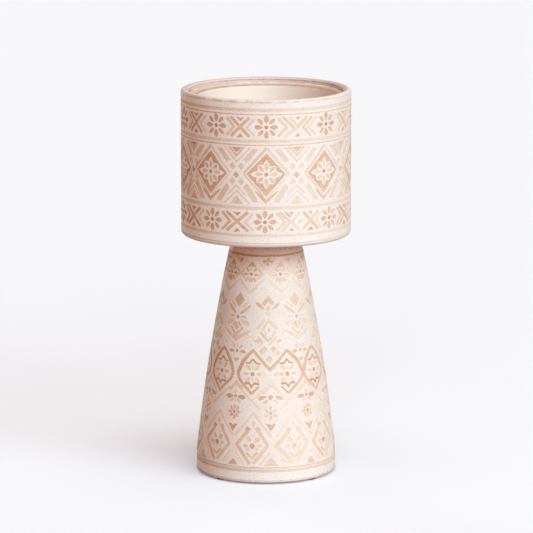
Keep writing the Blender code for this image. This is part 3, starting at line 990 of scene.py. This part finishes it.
def cut_wall(solid, drawing, wall, low, high, total, shade=plain_shade):
    """Adds a decorated wall, first in the bake map. Inked faces lie deeper, with a step round them."""
    flat, triangles, clear = flat_triangles(drawing, low, high)
    made = {}

    def point(k, deep):
        if (k, deep) not in made:
            x, z = flat[k]
            place = on_wall(x / drawing.turn, wall(z) - (CUT_DEPTH if deep else 0.0), z)
            field_low, field_high, haze_and_shade = drawing.field
            hazy = clear[k] and field_low < z < field_high
            made[k, deep] = solid.point(place, **shade(z, haze_and_shade if hazy else 0.0))
        return made[k, deep]

    def map_place(k):
        x, z = flat[k]
        return x / drawing.turn + 0.5, (z - low) / total

    bare_edges = set()
    for corners, tone in triangles:
        if not tone:
            bare_edges.update(zip(corners, corners[1:] + corners[:1]))
    for corners, tone in triangles:
        deep = tone > 0
        # Painted light and shade: tones fade on the lit right and deepen on the shaded left
        share = sum(flat[k].x for k in corners) / 3 / drawing.turn
        side = math.sin(2 * math.pi * share)
        strength = tone * (1 - side * (LIT_SIDE_FADE * max(0.0, FADELESS_TONE - tone) if side > 0 else SHADED_SIDE_DEEPEN))
        solid.face([point(k, deep) for k in corners], [map_place(k) for k in corners], strength)
        if not deep:
            continue
        for a, b in zip(corners, corners[1:] + corners[:1]):
            if (b, a) in bare_edges:
                step = [point(b, True), point(a, True), point(a, False), point(b, False)]
                solid.face(step, [map_place(k) for k in (b, a, a, b)], strength)


def build_drum(finish):
    """The outer pot: ornament on the wall, a rounded rim, a ledge for the liner, a drain and a tenon."""
    low, high = DRUM_BOTTOM + BASE_ROUND, RIM_TOP - RIM_ROUND
    tenon = NECK_BORE - TENON_CLEARANCE
    gallery = RIM_TOP - GALLERY_DEPTH
    ledge = DRUM_BORE - GALLERY_WIDTH
    floor = DRUM_BOTTOM + DRUM_FLOOR
    tenon_bottom = DRUM_BOTTOM - TENON_DEPTH
    profile = rounded([
        (DRUM_RADIUS, high, 0.0),
        (DRUM_RADIUS, RIM_TOP, RIM_ROUND - ARC_SLACK),
        (DRUM_BORE, RIM_TOP, RIM_ROUND),
        (DRUM_BORE, GROOVE_TOP, 0.0),
        (DRUM_BORE, GROOVE_FULL, 0.0),
        (DRUM_BORE, gallery, 0.0),
        (ledge, gallery, SOFT_EDGE),
        (ledge, gallery - GALLERY_THICKNESS, SOFT_EDGE),
        (DRUM_BORE, gallery - GALLERY_THICKNESS - GALLERY_WIDTH, SOFT_EDGE),
        (DRUM_BORE, floor, INNER_ROUND),
        (DRAIN_RADIUS, floor, SOFT_EDGE),
        (DRAIN_RADIUS, DRUM_BOTTOM, SOFT_EDGE),
        (tenon - TENON_WALL, DRUM_BOTTOM, SOFT_EDGE),
        (tenon - TENON_WALL, tenon_bottom, TENON_ROUND),
        (tenon - TENON_DRAFT, tenon_bottom, TENON_ROUND),
        (tenon, DRUM_BOTTOM, 0.0),
        (DRUM_RADIUS, DRUM_BOTTOM, BASE_ROUND - ARC_SLACK),
        (DRUM_RADIUS, low, 0.0),
    ])
    total = profile_lengths(profile)[-1] + high - low

    def rim_state(r, z, share):
        """A brown line round the outer edge, stronger on the shaded left as painted shade. Inside, bare body
        with a streak of painted shade above the liner, deeper on the shaded right, and painted shade in the
        groove at the liner.
        """
        side = math.sin(2 * math.pi * share)
        if r > DRUM_RADIUS - DRUM_WALL / 2:
            line = ridge(z - (RIM_TOP - RIM_LINE_DEPTH), RIM_LINE_WIDTH, RIM_LINE_TOP) if z > high else 0.0
            # Painted shade: the line is stronger on the shaded left and weaker on the lit right
            return {"wear_and_shade": min(1.0, line) * max(RIM_LINE_LEAST, 1.0 - RIM_LINE_SHADED_SIDE * side)}
        if gallery - 2 * SOFT_EDGE < z <= GROOVE_FULL:
            # Painted shade in the groove between the drum and the liner's lip
            return {"clay_and_shade": GROOVE_SHADE}
        if r > DRUM_BORE + STREAK_REACH:
            return {"clay_and_shade": BARE_CLAY}
        # Painted shade: a dark streak above the liner's lip, deeper on the shaded right
        painted_streak = ridge(z - (RIM_TOP - STREAK_DEPTH), STREAK_WIDTH, STREAK_TOP)
        return {"clay_and_shade": BARE_CLAY + painted_streak * (STREAK_SHADE + STREAK_SHADED_SIDE * side)}

    solid = Solid()
    cut_wall(solid, draw_drum(), lambda z: DRUM_RADIUS, low, high, total)
    solid.turn(profile, high - low, total, state=rim_state)
    piece = solid.finish("drum_with_ornament", finish)
    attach(piece, "drum")
    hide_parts("planter_drum")


def build_pedestal(finish):
    """The hollow stand: ornament on the wall, a socket in the neck and a ring under the foot."""
    low, high = FOOT_BOTTOM + FOOT_ROUND, NECK_TOP - NECK_ROUND
    shoulder = NECK_TOP - SOCKET_DEPTH
    hollow_top = shoulder - (pedestal_wall(shoulder) - PEDESTAL_WALL - NECK_BORE)
    ring_bore = FOOT_RADIUS - FOOT_RING_WIDTH
    inside = [hollow_top + (BAND_TOP - hollow_top) * k / (HOLLOW_POINTS - 1) for k in range(HOLLOW_POINTS)]
    corners = [
        (pedestal_wall(high), high, 0.0),
        (NECK_RADIUS, NECK_TOP, NECK_ROUND - NECK_SLACK),
        (NECK_BORE, NECK_TOP, NECK_ROUND),
        (NECK_BORE, shoulder, SOFT_EDGE),
    ]
    corners += [(pedestal_wall(z) - PEDESTAL_WALL, z, 0.0) for z in inside]
    corners += [
        (ring_bore, FOOT_BOTTOM + FOOT_RING_HEIGHT, FOOT_ROUND),
        (ring_bore, FOOT_BOTTOM, FOOT_ROUND),
        (FOOT_RADIUS, FOOT_BOTTOM, FOOT_ROUND - ARC_SLACK),
        (FOOT_RADIUS, low, 0.0),
    ]
    profile = rounded(corners)
    total = profile_lengths(profile)[-1] + high - low

    def hollow_state(r, z, share):
        """Bare, unslipped body in the hollow, where no slip was laid."""
        return {"clay_and_shade": BARE_CLAY if r < pedestal_wall(z) - PEDESTAL_WALL / 2 else 0.0}

    solid = Solid()
    cut_wall(solid, draw_pedestal(), pedestal_wall, low, high, total, painted_neck_shadow)
    solid.turn(profile, high - low, total, state=hollow_state)
    piece = solid.finish("pedestal_with_ornament", finish)
    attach(piece, "pedestal")
    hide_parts("pedestal_cone")


# Runs of glossy glazing on the lip, coloured near-white as painted highlights: the middle and half of
# the width of each, as shares of a turn
GLAZE_GLINT_RUNS = [
    (-0.462, 0.027),
    (0.482, 0.008),
    (0.404, 0.006),
    (0.360, 0.016),
    (0.318, 0.006),
    (0.200, 0.010),
    (0.060, 0.012),
    (-0.120, 0.020),
    (-0.300, 0.008),
]
RUN_EDGE = 0.004


def glaze_glint_run(share):
    """How far a place on the lip lies under a glossy run with a painted highlight."""
    depths = [(half - abs(share - middle)) / RUN_EDGE + 1 for middle, half in GLAZE_GLINT_RUNS]
    return max(0.0, min(1.0, max(depths)))


def build_liner(finish):
    """The inner pot, hanging by a sloping lip with a ragged outer edge."""
    mouth = LIP_TOP - LIP_SLOPE
    floor_top = LINER_BOTTOM + LINER_FLOOR
    lip_width = LIP_RADIUS - MOUTH_RADIUS
    profile = rounded([
        (0.0, LINER_BOTTOM, 0.0),
        (LINER_RADIUS - LINER_TAPER, LINER_BOTTOM, LINER_ROUND),
        (LINER_RADIUS, LIP_SEAT, SOFT_EDGE),
        (LIP_RADIUS, LIP_SEAT, SOFT_EDGE),
        (LIP_RADIUS, LIP_TOP, LIP_ROUND),
        *[(LIP_RADIUS - t * lip_width, LIP_TOP - t * LIP_SLOPE, 0.0) for t in LIP_SHARES],
        (MOUTH_RADIUS, mouth, LIP_ROUND),
        (MOUTH_RADIUS - LINER_TAPER, floor_top, LINER_ROUND),
        (0.0, floor_top, 0.0),
    ])
    total = profile_lengths(profile)[-1]

    def ragged(k, share):
        """Chips and drips along the outer edge of the lip."""
        r, z = profile[k]
        if r < LIP_RADIUS - CHIP_BAND or z < LIP_TOP - CHIP_BAND:
            return 0.0, 0.0
        place = on_wall(share, LIP_RADIUS, 0.0) * CHIP_DENSITY
        depth = abs(noise.noise(place)) + 0.5 * abs(noise.noise(place * 2.7))
        return -CHIP_INWARD * depth, -CHIP_DOWNWARD * depth

    def lip_state(r, z, share):
        """Bare body on the lip and outside, a brown ring at its inner edge, widened on the shaded right as
        painted shade, and glossy runs with painted highlights at its outer edge.
        """
        across = (LIP_RADIUS - r) / lip_width
        outer = LINER_RADIUS - LINER_TAPER * (LIP_SEAT - z) / (LIP_SEAT - LINER_BOTTOM)
        inside = z > floor_top - SOFT_EDGE and r < outer - LINER_WALL / 2 and across > INSIDE_SHARE
        # Painted shade: the ring widens on the shaded right side
        breadth = RING_BREADTH + RING_SHADED_SPREAD * max(0.0, math.sin(2 * math.pi * share))
        ring = ridge(across - RING_SHARE, breadth) if z > mouth - LIP_ROUND / 2 else 0.0
        # Painted highlights: near-white glossy runs along the lip's outer edge
        edge = glaze_glint_run(share) if across < RUN_SHARE and z > LIP_TOP - RUN_LENGTH else 0.0
        return {"wear_and_shade": ring, "clay_and_shade": 0.0 if inside else 1.0, "glaze_glint": edge}

    solid = Solid()
    solid.turn(profile, 0.0, total, state=lip_state, uneven=ragged)
    piece = solid.finish("liner_glazed", finish)
    drill_weep_holes(piece)
    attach(piece, "liner")
    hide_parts("liner_pot")


def drill_weep_holes(liner):
    """Cuts the ring of weep holes through the liner's floor, and keeps the cut mesh."""
    drills = bmesh.new()
    for k in range(WEEP_HOLE_COUNT):
        angle = 2 * math.pi * k / WEEP_HOLE_COUNT + math.pi / 2
        made = bmesh.ops.create_cone(
            drills,
            cap_ends=True,
            segments=WEEP_HOLE_SIDES,
            radius1=WEEP_HOLE_RADIUS * MM,
            radius2=WEEP_HOLE_RADIUS * MM,
            depth=3 * LINER_FLOOR * MM,
        )
        place = Vector((math.cos(angle), math.sin(angle), 0.0)) * WEEP_CIRCLE_RADIUS
        place.z = LINER_BOTTOM + LINER_FLOOR / 2
        bmesh.ops.translate(drills, vec=place * MM, verts=made["verts"])
    mesh = bpy.data.meshes.new("weep_hole_drills")
    drills.to_mesh(mesh)
    drills.free()
    cutter = add_object("weep_hole_drills", mesh)
    cut = liner.modifiers.new("weep_holes", "BOOLEAN")
    cut.operation = "DIFFERENCE"
    cut.object = cutter
    evaluated = liner.evaluated_get(bpy.context.evaluated_depsgraph_get())
    whole = liner.data
    liner.data = bpy.data.meshes.new_from_object(evaluated)
    liner.modifiers.clear()
    liner.data.set_sharp_from_angle(angle=SHARP)
    bpy.data.objects.remove(cutter)
    bpy.data.meshes.remove(whole)


PAD_COUNT = 4
PAD_ROUND = 0.6
PAD_COLUMNS = 48
FUZZ = 0.12
FUZZ_DENSITY = 2.0


def build_pads(finish):
    """Felt discs with soft edges and a slightly uneven outline, under the foot ring."""
    for k in range(PAD_COUNT):
        node = f"foot_pad_{k + 1}"
        low, high = (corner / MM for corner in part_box(node))
        middle = (low + high) / 2
        radius = (high.y - low.y) / 2
        edges = [(radius, low.z, PAD_ROUND), (radius, high.z, PAD_ROUND)]
        profile = rounded([(0.0, low.z, 0.0), *edges, (0.0, high.z, 0.0)])

        def fuzzy(j, share):
            """Fibres that stand back from the outline."""
            r, z = profile[j]
            place = on_wall(share, r, z) / MM
            return -abs(noise.noise(place * FUZZ_DENSITY + middle)) * FUZZ * (r / radius) ** 2, 0.0

        solid = Solid()
        centre = Vector((middle.x, middle.y, 0.0)) * MM
        total = profile_lengths(profile)[-1]
        solid.turn(profile, 0.0, total, uneven=fuzzy, columns=PAD_COLUMNS, centre=centre)
        piece = solid.finish(f"felt_pad_{k + 1}", finish)
        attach(piece, "pedestal")
        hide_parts(node)


# Finishes

class Finish:
    """A procedural material under construction."""

    def __init__(self, name, roughness):
        self.material = bpy.data.materials.new(name)
        self.material.use_nodes = True
        self.tree = self.material.node_tree
        self.shader = self.tree.nodes["Principled BSDF"]
        self.shader.inputs["Roughness"].default_value = roughness
        self.place = self.node("ShaderNodeTexCoord").outputs["Object"]

    def node(self, kind, inputs=None, **settings):
        """A new node with its settings, and with values or other sockets fed to its inputs."""
        made = self.tree.nodes.new(kind)
        for key, value in settings.items():
            setattr(made, key, value)
        for key, value in (inputs or {}).items():
            self.feed(made.inputs[key], value)
        return made

    def feed(self, socket, value):
        """Sets a socket to a plain value, or joins another socket to it."""
        if isinstance(value, bpy.types.NodeSocket):
            self.tree.links.new(value, socket)
        elif hasattr(value, "__len__"):
            socket.default_value = (*value, 1.0)
        else:
            socket.default_value = value

    def clouds(self, size, detail=3.0, roughness=0.5):
        """Soft noise with spots of about that size in millimetres."""
        inputs = {"Vector": self.place, "Scale": 1 / (size * MM), "Detail": detail, "Roughness": roughness}
        return self.node("ShaderNodeTexNoise", inputs).outputs["Fac"]

    def cells(self, size):
        """Distance to the nearest of scattered points that lie about that far apart, in millimetres."""
        return self.node("ShaderNodeTexVoronoi", {"Vector": self.place, "Scale": 1 / (size * MM)})

    def attribute(self, name):
        return self.node("ShaderNodeAttribute", attribute_name=name).outputs["Fac"]

    def span(self, value, low, high, new_low=0.0, new_high=1.0):
        """Maps low to high on to another span, and holds the ends."""
        inputs = {"Value": value, "From Min": low, "From Max": high, "To Min": new_low, "To Max": new_high}
        return self.node("ShaderNodeMapRange", inputs).outputs["Result"]

    def math(self, operation, a, b):
        return self.node("ShaderNodeMath", {0: a, 1: b}, operation=operation).outputs["Value"]

    def mix(self, share, a, b):
        inputs = {"Factor": share, "A": a, "B": b}
        return self.node("ShaderNodeMix", inputs, data_type="RGBA").outputs["Result"]

    def colour(self, value):
        self.feed(self.shader.inputs["Base Color"], value)

    def bump(self, height, depth):
        """Raises the surface by height times depth in millimetres."""
        made = self.node("ShaderNodeBump", {"Strength": 1.0, "Distance": depth * MM, "Height": height})
        self.feed(self.shader.inputs["Normal"], made.outputs["Normal"])


SLIP = (0.877, 0.804, 0.787)
# Tinted slip, also used for painted shade under the drum
SLIP_HAZE_AND_SHADE = (0.86, 0.735, 0.67)
SAND = (0.66, 0.54, 0.46)
TAN_LIGHT = (0.79, 0.60, 0.468)
TAN_DARK = (0.68, 0.385, 0.24)
TAN_DEEP = (0.51, 0.275, 0.17)
RIM_CLAY = (0.67, 0.515, 0.455)
# Colour of painted shade in the groove and in the streak above the liner
GROOVE_PAINTED_SHADE = (0.41, 0.25, 0.18)
# Brown of the rim's line, also used for painted shade under the drum
BROWN_LINE_AND_SHADE = (0.58, 0.40, 0.305)
# Near-white of the lip's glossy drips, a painted highlight
GLAZE_DRIP_HIGHLIGHT = (0.97, 0.89, 0.86)
SPECK = (0.30, 0.19, 0.13)


def slip_clay():
    """Matt pale slip with sandy grains and specks, cut through to the tan body where the faces carry ink.
    It also carries painted shade under the drum on the pedestal, along the rim and in the groove at the
    liner.
    """
    f = Finish("slip_clay", 0.62)
    f.shader.inputs["Specular IOR Level"].default_value = 0.25
    ink = f.attribute("ink")
    sand = f.clouds(1.8, 2)
    patches = f.span(f.clouds(14, 4), 0.3, 0.7, 0.86, 1.12)
    tone = f.math("MULTIPLY", f.math("MULTIPLY", ink, patches), f.span(sand, 0.3, 0.7, 0.72, 1.28))
    # Tint of the slip, and painted shade of the drum on the upper pedestal
    haze_and_shade = f.math("MULTIPLY", f.attribute("haze_and_shade"), f.span(f.clouds(14, 4), 0.3, 0.7, 0.25, 1.0))
    slip = f.mix(haze_and_shade, SLIP, SLIP_HAZE_AND_SHADE)
    slip = f.mix(f.span(sand, 0.5, 0.78, 0.0, 0.65), slip, SAND)
    tan = f.mix(f.span(tone, 0.0, 0.55), slip, TAN_LIGHT)
    tan = f.mix(f.span(tone, 0.55, 1.0), tan, TAN_DARK)
    tan = f.mix(f.span(tone, 1.0, 1.45), tan, TAN_DEEP)
    body = f.mix(f.span(ink, 0.0, 0.02), slip, tan)
    # Brown marks: the rim's line, and painted shade of the drum on the upper pedestal
    line = f.math("MULTIPLY", f.attribute("wear_and_shade"), f.span(f.clouds(11, 4, 0.6), 0.35, 0.65, 0.35, 1.1))
    # Bare clay, and at its highest values painted shade in the groove and along the inner rim
    ragged = f.math("MULTIPLY", f.attribute("clay_and_shade"), f.span(f.clouds(6, 5, 0.65), 0.3, 0.7, 0.8, 1.2))
    body = f.mix(f.span(ragged, 0.1, 0.45), body, RIM_CLAY)
    body = f.mix(line, body, BROWN_LINE_AND_SHADE)
    body = f.mix(f.span(ragged, 0.66, 0.8), body, GROOVE_PAINTED_SHADE)
    dots = f.cells(5.5)
    size = f.span(dots.outputs["Color"], 0.5, 1.0, 0.0, 0.17)
    specks = f.math("LESS_THAN", dots.outputs["Distance"], size)
    body = f.mix(f.math("MULTIPLY", specks, 0.55), body, SPECK)
    f.colour(body)
    grain = f.math("ADD", f.clouds(0.8, 3), f.math("MULTIPLY", f.clouds(6, 2), 1.5))
    f.bump(grain, 0.12)
    return f.material


GLAZE = (0.80, 0.66, 0.585)
GLAZE_THIN = (0.43, 0.26, 0.165)
LIP_CLAY = (0.68, 0.535, 0.47)


def cream_glaze():
    """Satin cream glazing inside, a matt lip with a brown inner edge, and glossy drips along its outer edge
    coloured near-white as painted highlights.
    """
    f = Finish("cream_glaze", 0.42)
    body = f.mix(f.span(f.attribute("clay_and_shade"), 0.2, 0.6), GLAZE, LIP_CLAY)
    # The brown ring at the mouth, widened on the right as painted shade
    thin = f.math("MULTIPLY", f.attribute("wear_and_shade"), f.span(f.clouds(14, 4), 0.3, 0.6, 0.45, 1.0))
    body = f.mix(thin, body, GLAZE_THIN)
    # Glossy drips, coloured near-white as painted highlights
    drips = f.math("MULTIPLY", f.attribute("glaze_glint"), f.span(f.clouds(8, 3, 0.6), 0.38, 0.5))
    f.colour(f.mix(drips, body, GLAZE_DRIP_HIGHLIGHT))
    f.feed(f.shader.inputs["Roughness"], f.span(drips, 0.0, 1.0, 0.5, 0.2))
    f.bump(f.clouds(3, 3), 0.01)
    return f.material


CORK_DARK, CORK_LIGHT = (0.30, 0.18, 0.09), (0.50, 0.33, 0.19)
RUBBER_GREY, RUBBER_BLOOM = (0.06, 0.06, 0.062), (0.12, 0.12, 0.12)
FELT_DARK, FELT_LIGHT = (0.06, 0.04, 0.03), (0.16, 0.11, 0.08)


def cork():
    """Pressed cork granules."""
    f = Finish("cork", 0.9)
    grains = f.cells(1.6)
    f.colour(f.mix(f.span(grains.outputs["Color"], 0.0, 1.0), CORK_DARK, CORK_LIGHT))
    f.bump(grains.outputs["Distance"], 0.3)
    return f.material


def rubber():
    """Moulded grey rubber with a faint bloom."""
    f = Finish("rubber", 0.65)
    f.colour(f.mix(f.span(f.clouds(4, 4), 0.4, 0.7), RUBBER_GREY, RUBBER_BLOOM))
    f.bump(f.clouds(0.5, 2), 0.05)
    return f.material


def felt():
    """Brown needle felt."""
    f = Finish("felt", 1.0)
    f.colour(f.mix(f.span(f.clouds(0.7, 5, 0.8), 0.3, 0.7), FELT_DARK, FELT_LIGHT))
    f.bump(f.clouds(0.35, 4, 0.8), 0.4)
    return f.material


# Stage, light and camera

CAMERA_DISTANCE = 5.436
CAMERA_HEIGHT = 1.361
CAMERA_PITCH = 10.984
CAMERA_LENS = 253.28
SENSOR_WIDTH = 36.0
FARTHEST_SEEN = 100.0
AXIS_OFFSET = 0.0007
FLOOR_SIZE = 60.0
FLOOR_SEEN = (0.768, 0.829, 0.848)
FLOOR_GLOW = (0.142, 0.119, 0.166)
FLOOR_BOUNCE = (0.486, 0.272, 0.17)
SKY_WARM = (1.0, 0.535, 0.35, 1.0)
SKY_WHITE = (0.98, 0.98, 1.0, 1.0)
SKY_LIGHT = 0.208
BACKGROUND = 0.95
KEY_COLOUR = (0.742, 0.934, 1.0)
KEY_AZIMUTHS = (-1, 20, 40, 60)
KEY_LEVEL = 1.205
KEY_ELEVATION = 25
KEY_SPREAD = 34
TOP_COLOUR = (1.0, 0.84, 0.74)
EDGE_COLOUR = (0.6, 0.92, 1.0)

# Lamps: name, colour, level, and in degrees the azimuth from the front to the right, elevation and spread
LAMPS = [
    (f"key_{k + 1}", KEY_COLOUR, KEY_LEVEL / len(KEY_AZIMUTHS), azimuth, KEY_ELEVATION, KEY_SPREAD)
    for k, azimuth in enumerate(KEY_AZIMUTHS)
]
LAMPS += [
    ("top", TOP_COLOUR, 0.42, 0, 88, 50),
    ("edge_left", EDGE_COLOUR, 0.33, -150, 5, 10),
    ("edge_right", EDGE_COLOUR, 0.14, 150, 5, 10),
]


def build_stage():
    """A large pale floor. What it throws back on the object is less than what the camera sees of it."""
    mesh = bpy.data.meshes.new("floor")
    half = FLOOR_SIZE / 2
    corners = [(-half, -half, 0), (half, -half, 0), (half, half, 0), (-half, half, 0)]
    mesh.from_pydata(corners, [], [(0, 1, 2, 3)])
    floor = add_object("floor", mesh)
    f = Finish("floor", 1.0)
    ray = f.node("ShaderNodeLightPath")
    f.colour(f.mix(ray.outputs["Is Camera Ray"], FLOOR_BOUNCE, FLOOR_SEEN))
    f.feed(f.shader.inputs["Emission Color"], FLOOR_GLOW)
    f.feed(f.shader.inputs["Emission Strength"], ray.outputs["Is Camera Ray"])
    f.shader.inputs["Specular IOR Level"].default_value = 0.0
    mesh.materials.append(f.material)


def build_light():
    """A low row of cool lights from front and right, a warm one above, weak ones behind, and a warm sky."""
    for name, colour, level, azimuth, elevation, spread in LAMPS:
        lamp = bpy.data.lights.new(name, "SUN")
        lamp.color = colour
        lamp.energy = level * math.pi
        lamp.angle = math.radians(spread)
        sun = add_object(name, lamp)
        sun.rotation_euler = (math.radians(90 - elevation), 0.0, math.radians(azimuth))
    world = bpy.data.worlds.new("sky")
    bpy.context.scene.world = world
    world.use_nodes = True
    tree = world.node_tree
    background = tree.nodes["Background"]
    ray = tree.nodes.new("ShaderNodeLightPath")
    seen = ray.outputs["Is Camera Ray"]
    hue = tree.nodes.new("ShaderNodeMix")
    hue.data_type = "RGBA"
    hue.inputs["A"].default_value = SKY_WARM
    hue.inputs["B"].default_value = SKY_WHITE
    tree.links.new(seen, hue.inputs["Factor"])
    tree.links.new(hue.outputs["Result"], background.inputs["Color"])
    strength = tree.nodes.new("ShaderNodeMapRange")
    strength.inputs["To Min"].default_value = SKY_LIGHT
    strength.inputs["To Max"].default_value = BACKGROUND
    tree.links.new(seen, strength.inputs["Value"])
    tree.links.new(strength.outputs["Result"], background.inputs["Strength"])


def build_camera():
    """The photograph's view: from the front, a little above the rim, through a long lens."""
    data = bpy.data.cameras.new("camera")
    data.lens = CAMERA_LENS
    data.sensor_width = SENSOR_WIDTH
    data.clip_end = FARTHEST_SEEN
    camera = add_object("camera", data)
    camera.location = (AXIS_OFFSET, -CAMERA_DISTANCE, CAMERA_HEIGHT)
    camera.rotation_euler = (math.radians(90 - CAMERA_PITCH), 0.0, 0.0)
    bpy.context.scene.camera = camera


def dress(node, finish):
    """Gives a CAD node that is shown as it is a better finish."""
    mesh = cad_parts[node].data
    mesh.materials.clear()
    mesh.materials.append(finish)


build_camera()
build_light()
build_stage()
clay_and_shade = slip_clay()
build_drum(clay_and_shade)
build_pedestal(clay_and_shade)
build_liner(cream_glaze())
build_pads(felt())
dress("seat_ring", cork())
dress("drain_plug", rubber())
bpy.context.scene.view_settings.view_transform = "Standard"
